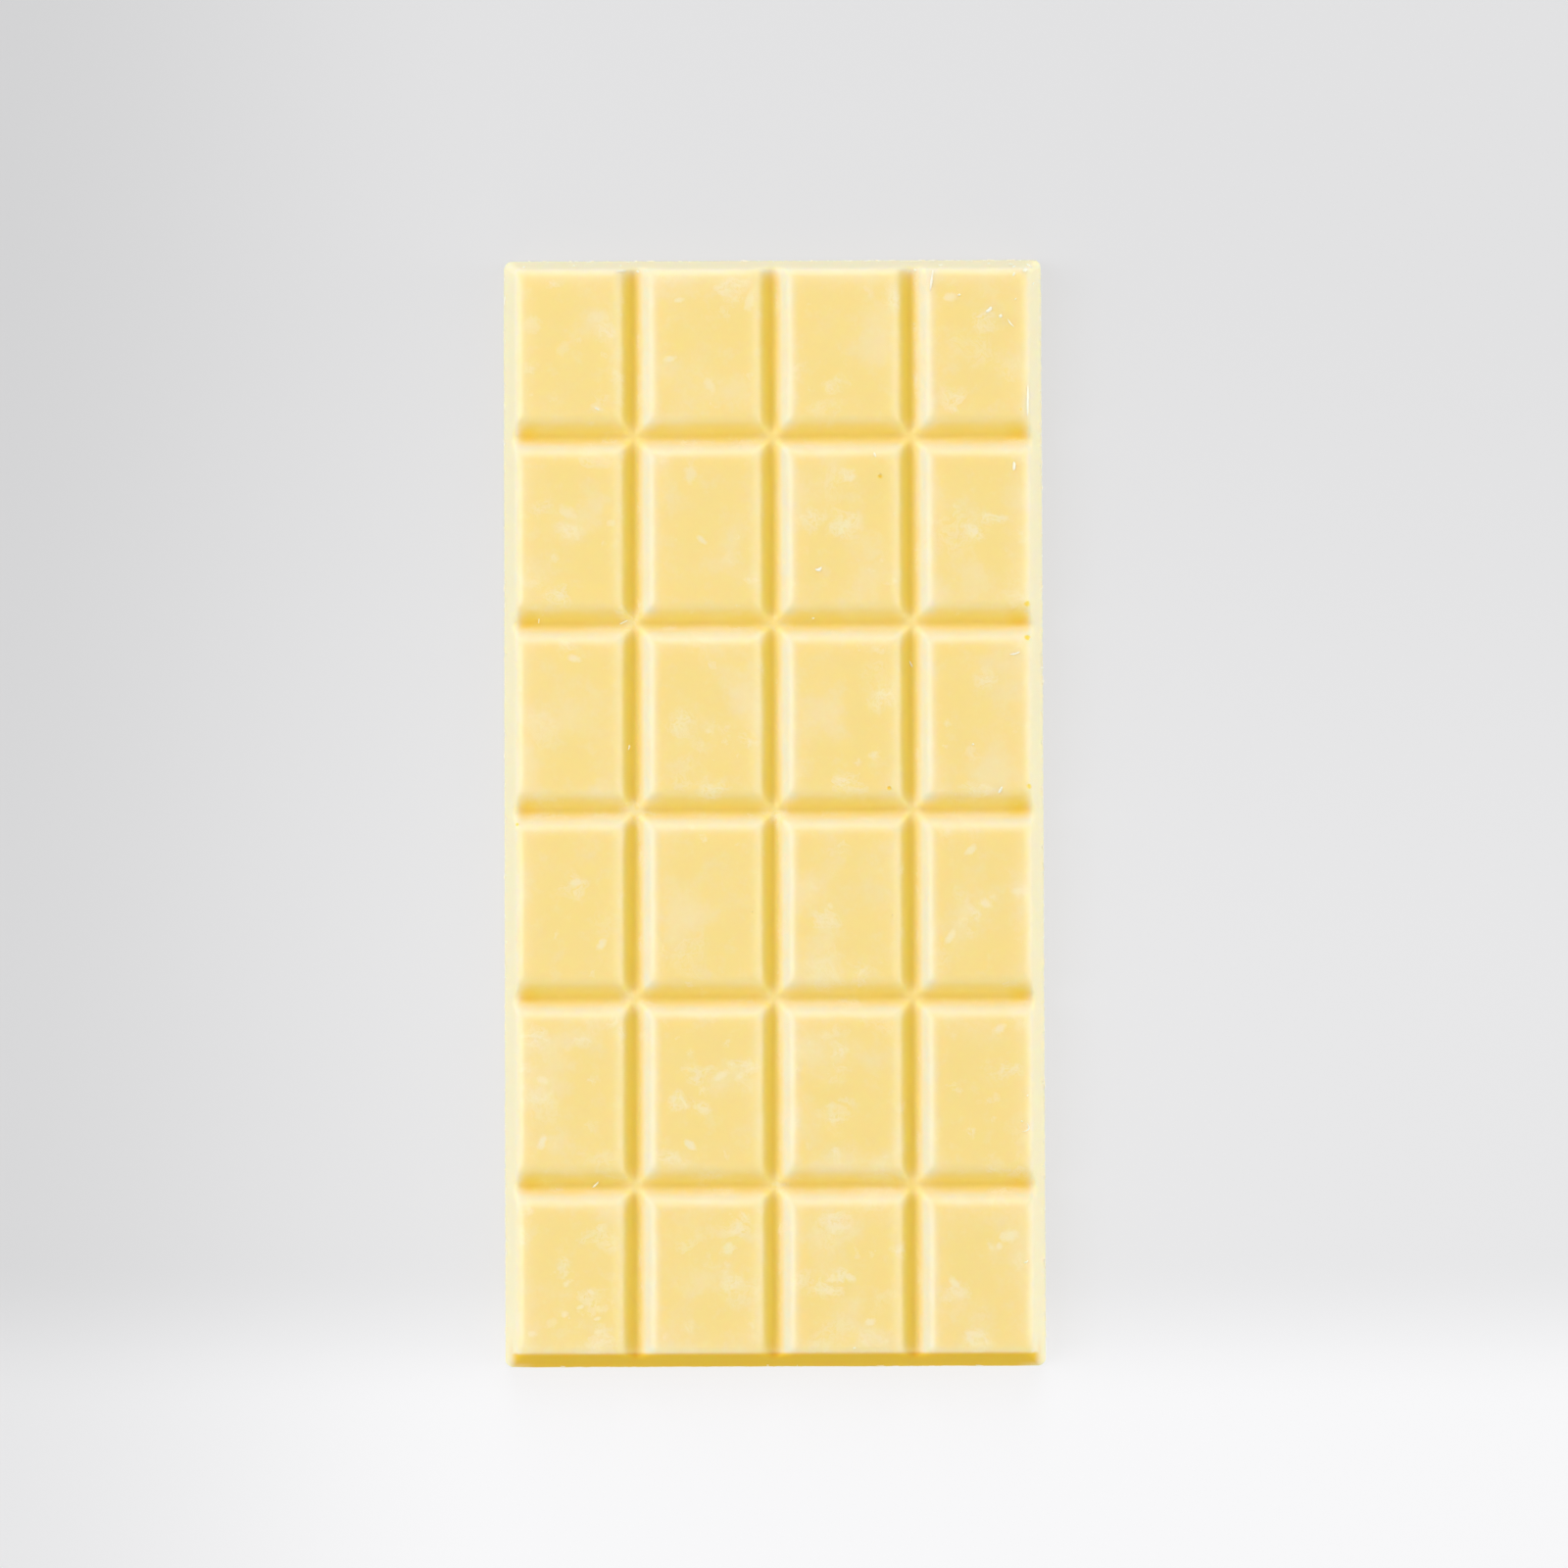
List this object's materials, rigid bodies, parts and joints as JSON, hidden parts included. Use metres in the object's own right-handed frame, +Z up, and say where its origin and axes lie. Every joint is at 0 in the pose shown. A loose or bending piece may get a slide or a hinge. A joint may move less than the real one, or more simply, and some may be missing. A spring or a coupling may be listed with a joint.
{
  "type": "white chocolate bar",
  "caption": "Flat rectangular bar of white chocolate with leaning walls, its moulded face divided by break grooves into rounded segments, lying on its flat back.",
  "frame": {"origin": "on the table under the middle of the bar, where its flat back rests", "axes": "+Z up out of the moulded face, X across the bar's width, +Y along its length"},
  "size_m": [0.076, 0.156, 0.008],
  "materials": {
    "white_chocolate": "ivory yellow white chocolate, satin, slightly translucent, with pale flecks of cocoa butter"
  },
  "bodies": {
    "root": {"white_chocolate_bar": "white_chocolate"}
  },
  "joints": []
}
